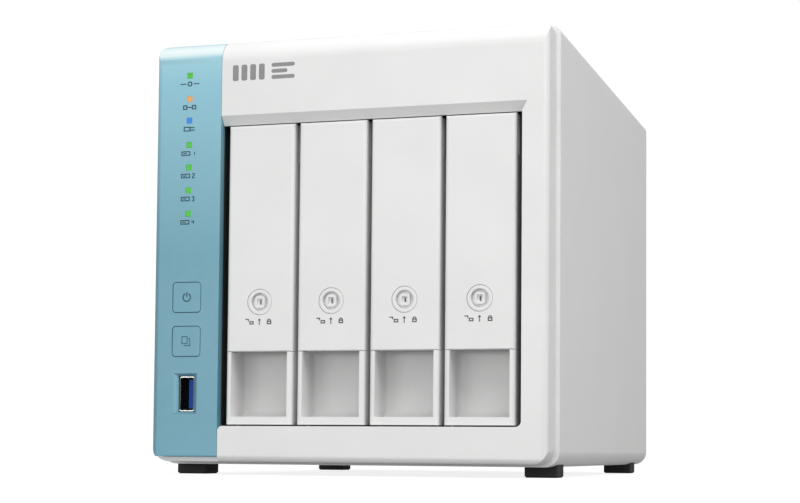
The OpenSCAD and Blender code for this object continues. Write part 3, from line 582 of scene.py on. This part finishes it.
def print_light_marks():
    """A small pictogram below each status light; drives get a disk sign and their number."""
    face_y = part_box("accent_panel")[0].y
    below = 3.3 * MM
    pulse = [bar(-4.0, -0.2, -1.6, 0.2), bar(1.6, -0.2, 4.0, 0.2)]
    pulse += arc_band(0, 0, 0.55, 1.05, 0, 360, 16)
    net = box_frame(-2.8, -0.9, -1.0, 0.9, 0.45) + box_frame(1.0, -0.9, 2.8, 0.9, 0.45)
    net.append(bar(-1.0, -0.2, 1.0, 0.2))
    plug = box_frame(-2.4, -0.95, 0.5, 0.95, 0.45)
    plug += [bar(0.5, -0.7, 2.2, -0.28), bar(0.5, 0.28, 2.2, 0.7)]
    for name, mark in (("status_light", pulse), ("lan_light", net), ("usb_light", plug)):
        middle = node_middle(name)
        print_mark(f"{name}_mark", mark, (middle.x, middle.z - below), face_y, TEAL_INK, "chassis")
    low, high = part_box("drive_lights")
    size = high.x - low.x
    top = high.z - size / 2
    rows = (0, 8.8 * MM, 17.8 * MM, high.z - low.z - size)
    for number, drop in zip(BAYS, rows):
        disk = box_frame(-3.2, -0.9, 0.6, 0.9, 0.42)
        disk.append(bar(-2.4, -0.2, -0.9, 0.2))
        disk += digit(number, 1.5, -1.0, 2.0, 0.42)
        print_mark(f"drive_mark_{number}", disk, ((low.x + high.x) / 2, top - drop - below),
                   face_y, TEAL_INK, "chassis")


def print_button_marks():
    """Power sign and copy sign on the two caps."""
    power = arc_band(0, 0, 1.3, 1.8, 115, 425, 28) + [bar(-0.25, 0.2, 0.25, 2.0)]
    middle = node_middle("power_button")
    face_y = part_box("power_button")[0].y
    print_mark("power_sign", power, (middle.x, middle.z), face_y, TEAL_INK, "power_button")
    sheets = box_frame(-1.9, -1.0, 0.6, 2.0, 0.3)
    sheets += [bar(1.4, -1.8, 1.7, 1.2), bar(-0.8, -1.8, 1.4, -1.5), bar(0.9, 0.9, 1.4, 1.2)]
    sheets.append(bar(-0.8, -1.5, -0.5, -1.3))
    middle = node_middle("copy_button")
    face_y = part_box("copy_button")[0].y
    print_mark("copy_sign", sheets, (middle.x, middle.z), face_y, TEAL_INK, "copy_button")


def print_lock_marks():
    """Three small signs under each lock: released, key position, locked."""
    released = [bar(-5.8, 0.7, -4.3, 1.1), bar(-4.7, 0.1, -4.3, 0.7)]
    released += box_frame(-4.1, -1.1, -2.3, 0.2, 0.42)
    pointer = [bar(-0.18, -1.3, 0.18, 0.5), [(-0.65, 0.4), (0.65, 0.4), (0, 1.3)]]
    locked = box_frame(3.1, -1.1, 4.9, 0.3, 0.45) + arc_band(4.0, 0.25, 0.4, 0.8, 0, 180, 8)
    for n in BAYS:
        face_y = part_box(f"tray_lever_{n}")[0].y
        ring = node_middle(f"lock_ring_{n}")
        place = (ring.x, ring.z - 7.5 * MM)
        signs = released + pointer + locked
        print_mark(f"lock_signs_{n}", signs, place, face_y, LOCK_INK, f"lever_{n}")


def print_front_emblem():
    """A plain emblem of four upright and three level bars on the white part above the bays."""
    bezel_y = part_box("front_bezel")[0].y
    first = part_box("tray_lever_1")[0]
    outlines = []
    for k in range(4):
        u = k * 3.6
        outlines.append(rounded_box(u, 0, u + 2.4, 6.2, 0.7))
    outlines.append(rounded_box(16.0, 0, 25.5, 1.5, 0.7))
    outlines.append(rounded_box(16.0, 2.35, 22.5, 3.85, 0.7))
    outlines.append(rounded_box(16.0, 4.7, 25.5, 6.2, 0.7))
    place = (first.x + 1.8 * MM, CASE_HIGH.z - 17.0 * MM)
    print_mark("front_emblem", outlines, place, bezel_y, GREY_INK, "chassis")


print_light_marks()
print_button_marks()
print_lock_marks()
print_front_emblem()


# ---------- rear marks ----------

def print_rear_marks():
    """Small signs beside the rear sockets: network, plug, power and reset."""
    face_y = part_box("rear_panel")[1].y
    ports_low, ports_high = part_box("lan_ports")
    sign_x = ports_high.x + 4.5 * MM
    net = box_frame(-2.4, -1.6, -0.6, 0, 0.3) + box_frame(0.6, -1.6, 2.4, 0, 0.3)
    net += box_frame(-0.9, 0.8, 0.9, 2.2, 0.3)
    net += [bar(-1.65, 0.25, 1.65, 0.5), bar(-0.12, 0.5, 0.12, 0.8)]
    for number, z in ((1, ports_high.z - 8 * MM), (2, ports_low.z + 8 * MM)):
        print_mark(f"network_sign_{number}", net, (sign_x, z), face_y, GREY_INK, "chassis", False)
    shells_low, shells_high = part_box("rear_usb_shells")
    plug = box_frame(-2.4, -1.0, 0.7, 1.0, 0.3) + [bar(0.7, -0.75, 2.4, -0.4), bar(0.7, 0.4, 2.4, 0.75)]
    for number, z in ((1, shells_high.z - 7 * MM), (2, shells_low.z + 7 * MM)):
        place = (shells_high.x + 4.2 * MM, z)
        print_mark(f"plug_sign_{number}", plug, place, face_y, GREY_INK, "chassis", False)
    jack = node_middle("dc_jack")
    power = [bar(-3.6, -0.15, -1.3, 0.15), bar(0.5, -0.15, 3.6, 0.15)]
    power += arc_band(0, 0, 1.0, 1.3, 20, 340, 20) + arc_band(0, 0, 0.01, 0.5, 0, 360, 10)
    print_mark("power_inlet_sign", power, (jack.x, jack.z - 9 * MM), face_y, GREY_INK, "chassis", False)
    reset = node_middle("reset_button")
    turn = arc_band(0, 0, 1.2, 1.5, 60, 360, 18) + [[(0.7, 0.1), (2.0, 0.1), (1.35, -0.9)]]
    print_mark("reset_sign", turn, (reset.x + 5.5 * MM, reset.z), face_y, GREY_INK, "chassis", False)


print_rear_marks()


# ---------- socket contacts ----------

def add_usb_contacts(name, node_name, count, to_front):
    """Four gilt strips on the face of each socket tongue."""
    low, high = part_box(node_name)
    half_width = 0.35 * MM
    face_x = high.x - 2.1 * MM
    mesh_data = bmesh.new()
    for k in range(count):
        middle_z = high.z - 6.6 * MM - k * 20 * MM
        for row in range(4):
            z = middle_z + (row - 1.5) * 2.3 * MM
            if to_front:
                start, end = low.y + 1.0 * MM, low.y + 7.5 * MM
            else:
                start, end = high.y - 7.5 * MM, high.y - 1.0 * MM
            add_box(mesh_data, (face_x - 0.06 * MM, start, z - half_width), (face_x, end, z + half_width))
    return mesh_piece(name, mesh_data, GOLD, "chassis")


def add_network_details():
    """Eight sprung contacts in each network socket and two small lamps at its edge."""
    low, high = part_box("lan_ports")
    contacts = bmesh.new()
    lamps = {"port_lamp_left": bmesh.new(), "port_lamp_right": bmesh.new()}
    for middle_z in (low.z + 8 * MM, high.z - 8 * MM):
        for k in range(8):
            z = middle_z + (k - 3.5) * 1.02 * MM
            back, front = high.y - 12.6 * MM, high.y - 2.8 * MM
            near, far = low.x + 2.62 * MM, low.x + 4.6 * MM
            half = 0.2 * MM
            sheet = [(near, front), (near + 0.3 * MM, front), (far, back), (far - 0.3 * MM, back)]
            add_prism(contacts, sheet, lambda u, v, w, z=z: (u, v, z - half + w), 2 * half)
        for name, side in (("port_lamp_left", -1), ("port_lamp_right", 1)):
            corner_z = sorted((middle_z + side * 3.9 * MM, middle_z + side * 7.0 * MM))
            add_box(lamps[name], (high.x - 3.2 * MM, high.y - 0.5 * MM, corner_z[0]),
                    (high.x - 1.0 * MM, high.y + 0.06 * MM, corner_z[1]))
    mesh_piece("network_contacts", contacts, GOLD, "chassis")
    mesh_piece("port_lamp_left", lamps["port_lamp_left"], PORT_AMBER, "chassis")
    mesh_piece("port_lamp_right", lamps["port_lamp_right"], PORT_GREEN, "chassis")


def add_drive_contacts():
    """Gilt contact rows inside the backplane's drive sockets."""
    low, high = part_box("backplane_sockets")
    middle_z = (low.z + high.z) / 2
    pitch = (high.x - low.x - 6 * MM) / 3
    mesh_data = bmesh.new()
    for k in range(4):
        x = low.x + 3 * MM + k * pitch
        for first, count in ((-18.2, 15), (2.6, 12)):
            for row in range(count):
                z = middle_z + (first + row * 1.1) * MM
                near = (x - 1.6 * MM, low.y + 0.4 * MM, z)
                far = (x - 1.35 * MM, high.y - 1.6 * MM, z + 0.5 * MM)
                add_box(mesh_data, near, far)
    mesh_piece("drive_contacts", mesh_data, GOLD, "chassis")


def add_front_throat_shade():
    """A thin black sheet deep inside the front socket, beside its tongue: painted shade where the socket's
    depth lies in shadow.
    """
    low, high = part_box("front_usb_tongue")
    gap = 0.1 * MM
    back = high.y - 1.6 * MM
    throat = bmesh.new()
    add_box(throat, (low.x + gap, back - gap, low.z + gap), (high.x - 2.2 * MM, back, high.z - gap))
    mesh_piece("front_usb_throat_shade", throat, MATERIALS["black_plastic"], "chassis")


add_front_throat_shade()
add_usb_contacts("front_usb_contacts", "front_usb_tongue", 1, True)
add_usb_contacts("rear_usb_contacts", "rear_usb_tongues", 2, False)
add_network_details()
add_drive_contacts()


# ---------- fan ----------

def add_fan_rotor():
    """Seven swept, curved blades on a rounded hub; takes the CAD rotor's place."""
    low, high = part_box("fan_rotor")
    middle = node_middle("fan_frame")
    mesh_data = bmesh.new()
    front = low.y
    hub_back = high.y - 3.0 * MM
    profile = [
        (0.4, front + 0.6 * MM), (17.5, front), (19.2, front + 0.5 * MM), (20.0, front + 1.6 * MM),
        (20.0, hub_back - 0.6 * MM), (19.4, hub_back), (0.4, hub_back),
    ]
    steps = 48
    rings = []
    for radius, y in profile:
        ring = []
        for k in range(steps):
            angle = 2 * math.pi * k / steps
            across, up = radius * MM * math.cos(angle), radius * MM * math.sin(angle)
            ring.append(mesh_data.verts.new((middle.x + across, y, middle.z + up)))
        rings.append(ring)
    for lower, upper in zip(rings, rings[1:]):
        for k in range(steps):
            after = (k + 1) % steps
            mesh_data.faces.new((lower[k], lower[after], upper[after], upper[k]))
    mesh_data.faces.new(rings[0])
    mesh_data.faces.new(rings[-1])
    blades = 7
    for k in range(blades):
        add_blade(mesh_data, middle, math.radians(k * 360 / blades), (front + hub_back) / 2)
    piece = mesh_piece("fan_blades", mesh_data, MATERIALS["fan_plastic"], "fan")
    for face in piece.data.polygons:
        face.use_smooth = True
    shade = piece.modifiers.new("shade", "WEIGHTED_NORMAL")
    shade.keep_sharp = True
    piece.data.set_sharp_from_angle(angle=math.radians(35))
    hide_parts("fan_rotor")


def add_blade(mesh_data, middle, start, middle_y):
    """One blade: pitch falls and sweep grows from root to tip, with a slight camber."""
    across, along = 8, 10
    root_radius, reach = 19.0, 36.0
    root_chord, chord_growth = 15.5, 13.0
    root_pitch, pitch_fall = 52, 22
    tip_sweep = 20
    rise_of_arch = 1.6
    half_thick = 0.7
    half_depth = 8.9
    sheets = []
    for side in (1, -1):
        sheet = []
        for i in range(along + 1):
            t = i / along
            radius = root_radius + t * reach
            chord = root_chord + chord_growth * t
            pitch = math.radians(root_pitch - pitch_fall * t)
            sweep = math.radians(tip_sweep * t * t)
            row = []
            for j in range(across + 1):
                u = j / across - 0.5
                camber = rise_of_arch * (0.25 - u * u) * 4
                edge = half_thick * math.sqrt(max(0.0, 1 - (2 * u) ** 6)) + 0.12
                run = u * chord
                rise = camber + side * edge
                turn = run * math.cos(pitch) - rise * math.sin(pitch)
                y = run * math.sin(pitch) + rise * math.cos(pitch)
                angle = start + sweep + turn / radius
                y = max(-half_depth, min(half_depth, y))
                row.append(mesh_data.verts.new((
                    middle.x + radius * MM * math.cos(angle),
                    middle_y + y * MM,
                    middle.z + radius * MM * math.sin(angle))))
            sheet.append(row)
        sheets.append(sheet)
    top, under = sheets
    for i in range(along):
        for j in range(across):
            mesh_data.faces.new((top[i][j], top[i][j + 1], top[i + 1][j + 1], top[i + 1][j]))
            mesh_data.faces.new((under[i][j], under[i + 1][j], under[i + 1][j + 1], under[i][j + 1]))
    for i in range(along):
        for j in (0, across):
            mesh_data.faces.new((top[i][j], top[i + 1][j], under[i + 1][j], under[i][j]))
    for j in range(across):
        for i in (0, along):
            mesh_data.faces.new((top[i][j], top[i][j + 1], under[i][j + 1], under[i][j]))


add_fan_rotor()


# ---------- leads and board parts ----------

def add_tube(mesh_data, points, radius, sides=8):
    """A round lead through points given in metres."""
    rings = []
    for k, point in enumerate(points):
        before = points[max(0, k - 1)]
        after = points[min(len(points) - 1, k + 1)]
        ahead = (Vector(after) - Vector(before)).normalized()
        if rings:
            across = (across - ahead * across.dot(ahead)).normalized()
        else:
            across = ahead.orthogonal().normalized()
        up = ahead.cross(across)
        ring = []
        for m in range(sides):
            angle = 2 * math.pi * m / sides
            offset = across * math.cos(angle) + up * math.sin(angle)
            ring.append(mesh_data.verts.new(Vector(point) + offset * radius))
        rings.append(ring)
    for lower, upper in zip(rings, rings[1:]):
        for m in range(sides):
            after = (m + 1) % sides
            mesh_data.faces.new((lower[m], lower[after], upper[after], upper[m]))
    mesh_data.faces.new(rings[0])
    mesh_data.faces.new(rings[-1])


def curve_points(start, start_way, end, end_way, steps=16):
    """Points along a smooth curve between two places with given leaving directions."""
    points = []
    for k in range(steps + 1):
        t = k / steps
        a = 2 * t ** 3 - 3 * t ** 2 + 1
        b = t ** 3 - 2 * t ** 2 + t
        c = -2 * t ** 3 + 3 * t ** 2
        d = t ** 3 - t ** 2
        points.append(Vector(start) * a + Vector(start_way) * b + Vector(end) * c + Vector(end_way) * d)
    return points


def smooth_wire(name, points, radius, sides, material):
    """A round wire with smooth shading."""
    wire = bmesh.new()
    add_tube(wire, points, radius, sides)
    piece = mesh_piece(name, wire, material, "chassis")
    for face in piece.data.polygons:
        face.use_smooth = True


def add_fan_lead():
    """Three wires from the fan to a white plug on the main board."""
    board_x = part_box("main_board")[1].x
    fan_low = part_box("fan_frame")[0]
    plug_low = Vector((board_x, 0.066, 0.1005))
    header = bmesh.new()
    add_box(header, plug_low, plug_low + Vector((5.5, 4, 9)) * MM)
    add_box(header, plug_low + Vector((5.5, 0.6, 0.6)) * MM, plug_low + Vector((9, 3.4, 8.4)) * MM)
    mesh_piece("fan_lead_plug", header, MATERIALS["white_plastic"], "chassis")
    for k, color in enumerate(("black", "red", "yellow")):
        start = plug_low + Vector((8.8, 2, 1.8 + 2.7 * k)) * MM
        end = Vector((fan_low.x, fan_low.y + 4 * MM, start.z - (14 - k) * MM))
        points = curve_points(start, (0.012, 0, 0), end, (0.010, 0.006, -0.004))
        smooth_wire(f"fan_wire_{color}", points, 0.65 * MM, 8, WIRE_COLORS[color])


def add_ribbon():
    """Flat grey cable between the light board and the main board, with its two plugs."""
    light_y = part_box("front_board")[1].y
    main_low, main_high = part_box("main_board")
    lowest = 0.084
    bottom, top = lowest - 1 * MM, lowest + 13 * MM
    plug_depth = 4.5 * MM
    light_plug = (-0.0640, -0.0585)
    main_plug = (main_low.y + 2 * MM, main_low.y + 7.5 * MM)
    plugs = bmesh.new()
    add_box(plugs, (light_plug[0], light_y, bottom), (light_plug[1], light_y + plug_depth, top))
    add_box(plugs, (main_high.x, main_plug[0], bottom), (main_high.x + plug_depth, main_plug[1], top))
    mesh_piece("ribbon_plugs", plugs, BLACK_CHIP, "chassis")
    start = (sum(light_plug) / 2, light_y + 4.3 * MM, lowest)
    end = (main_high.x + 4.3 * MM, sum(main_plug) / 2, lowest)
    points = curve_points(start, (0, 0.022, 0), end, (-0.016, 0, 0), 20)
    for k in range(10):
        wire = bmesh.new()
        shift = Vector((0, 0, (0.6 + 1.2 * k) * MM))
        add_tube(wire, [point + shift for point in points], 0.61 * MM, 6)
        paint = WIRE_COLORS["red"] if k == 0 else MATERIALS["grey_plastic"]
        mesh_piece(f"ribbon_wire_{k + 1}", wire, paint, "chassis")


def add_chip_part(bodies, kind, middle, along, out, end_half):
    """A 2 mm long part lying on a board: its body, then its two soldered ends."""
    beside = along.cross(out)
    blocks = (
        (kind, -0.6, 0.6, 0.4, 0.5),
        ("ends", -1.0, -0.6, end_half, 0.45),
        ("ends", 0.6, 1.0, end_half, 0.45),
    )
    for name, start, end, half, height in blocks:
        one = middle + (along * start - beside * half) * MM
        other = middle + (along * end + beside * half + out * height) * MM
        low = [min(pair) for pair in zip(one, other)]
        high = [max(pair) for pair in zip(one, other)]
        add_box(bodies[name], low, high)


def add_surface_parts():
    """Small chip capacitors and resistors in the boards' free areas, seeded so they never change."""
    dice = random.Random(11)
    board_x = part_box("main_board")[1].x
    light_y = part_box("front_board")[1].y
    bodies = {"ceramic": bmesh.new(), "resistor": bmesh.new(), "ends": bmesh.new()}
    along_x, along_y = Vector((1, 0, 0)), Vector((0, 1, 0))
    pitch_y, pitch_z = 0.0042, 0.0036
    main_areas = (
        (-0.056, 0.020, 0.060, 0.037), (-0.016, 0.040, 0.054, 0.053), (0.022, 0.056, 0.054, 0.112),
        (0.020, 0.116, 0.062, 0.144), (-0.014, 0.100, 0.002, 0.148), (-0.036, 0.134, -0.016, 0.148),
        (-0.044, 0.054, -0.026, 0.098),
    )
    for y0, z0, y1, z1 in main_areas:
        for i in range(int((y1 - y0) / pitch_y)):
            for j in range(int((z1 - z0) / pitch_z)):
                if dice.random() > 0.45:
                    continue
                middle = Vector((board_x, y0 + (i + 0.5) * pitch_y, z0 + (j + 0.5) * pitch_z))
                kind = "ceramic" if dice.random() > 0.5 else "resistor"
                add_chip_part(bodies, kind, middle, along_y, along_x, 0.42)
    for row in range(14):
        middle = Vector((-0.0566, light_y, 0.020 + row * 4.5 * MM))
        add_chip_part(bodies, "resistor", middle, along_x, along_y, 0.4)
    mesh_piece("chip_capacitors", bodies["ceramic"], CERAMIC, "chassis")
    mesh_piece("chip_resistors", bodies["resistor"], BLACK_CHIP, "chassis")
    mesh_piece("chip_ends", bodies["ends"], SOLDER, "chassis")


add_fan_lead()
add_ribbon()
add_surface_parts()


# ---------- floor and light ----------

FLOOR_GLOW_SEEN, FLOOR_GLOW_OTHER = 0.84, 0.12
BACKGROUND_SEEN, BACKGROUND_OTHER = 1.05, 0.59
FLOOR_Z = -0.1 * MM


def seen_or_not(tree, seen_value, other_value):
    """One value for what the camera sees directly and another for light that bounces."""
    path = tree.nodes.new("ShaderNodeLightPath")
    choice = tree.nodes.new("ShaderNodeMapRange")
    choice.inputs["To Min"].default_value = other_value
    choice.inputs["To Max"].default_value = seen_value
    tree.links.new(path.outputs["Is Camera Ray"], choice.inputs["Value"])
    return choice.outputs["Result"]


def add_floor():
    """A wide pale floor, lit like a light table; it belongs to the studio, not to the object."""
    mesh_data = bmesh.new()
    half = 6.0
    sides = ((-half, -half), (half, -half), (half, half), (-half, half))
    corners = [mesh_data.verts.new((x, y, FLOOR_Z)) for x, y in sides]
    mesh_data.faces.new(corners)
    mesh = bpy.data.meshes.new("floor")
    mesh_data.to_mesh(mesh)
    mesh_data.free()
    floor = bpy.data.objects.new("floor", mesh)
    bpy.context.scene.collection.objects.link(floor)
    material, tree, shader = node_tree("studio_floor")
    shade = ramp(tree, noise(tree, 3, 2), grey(0.30), grey(0.31))
    tree.links.new(shade, shader.inputs["Base Color"])
    shader.inputs["Roughness"].default_value = 0.9
    shader.inputs["Specular IOR Level"].default_value = 0.0
    shader.inputs["Emission Color"].default_value = (1, 1, 1, 1)
    glow = seen_or_not(tree, FLOOR_GLOW_SEEN, FLOOR_GLOW_OTHER)
    tree.links.new(glow, shader.inputs["Emission Strength"])
    mesh.materials.append(material)


def add_area_light(name, place, target, width, power, height=None):
    """A soft light that faces a point; square unless a height is given."""
    data = bpy.data.lights.new(name, "AREA")
    data.shape = "RECTANGLE"
    data.size = width
    data.size_y = height or width
    data.energy = power
    light = bpy.data.objects.new(name, data)
    bpy.context.scene.collection.objects.link(light)
    light.location = place
    light.rotation_euler = (Vector(target) - Vector(place)).to_track_quat("-Z", "Y").to_euler()


def add_surroundings():
    """White where it is seen directly, and an even, softer light on everything else."""
    world = bpy.data.worlds.new("studio")
    bpy.context.scene.world = world
    world.use_nodes = True
    tree = world.node_tree
    background = tree.nodes["Background"]
    background.inputs["Color"].default_value = (1, 1, 1, 1)
    strength = seen_or_not(tree, BACKGROUND_SEEN, BACKGROUND_OTHER)
    tree.links.new(strength, background.inputs["Strength"])


add_floor()
add_surroundings()
add_area_light("front_card", (-0.12, -1.25, 0.12), (0, 0, 0.08), 1.0, 2.6, 0.2)
add_area_light("ceiling", (0.32, -0.45, 0.80), (0, -0.05, 0.1), 0.6, 4.6)
bpy.context.scene.view_settings.view_transform = "Standard"
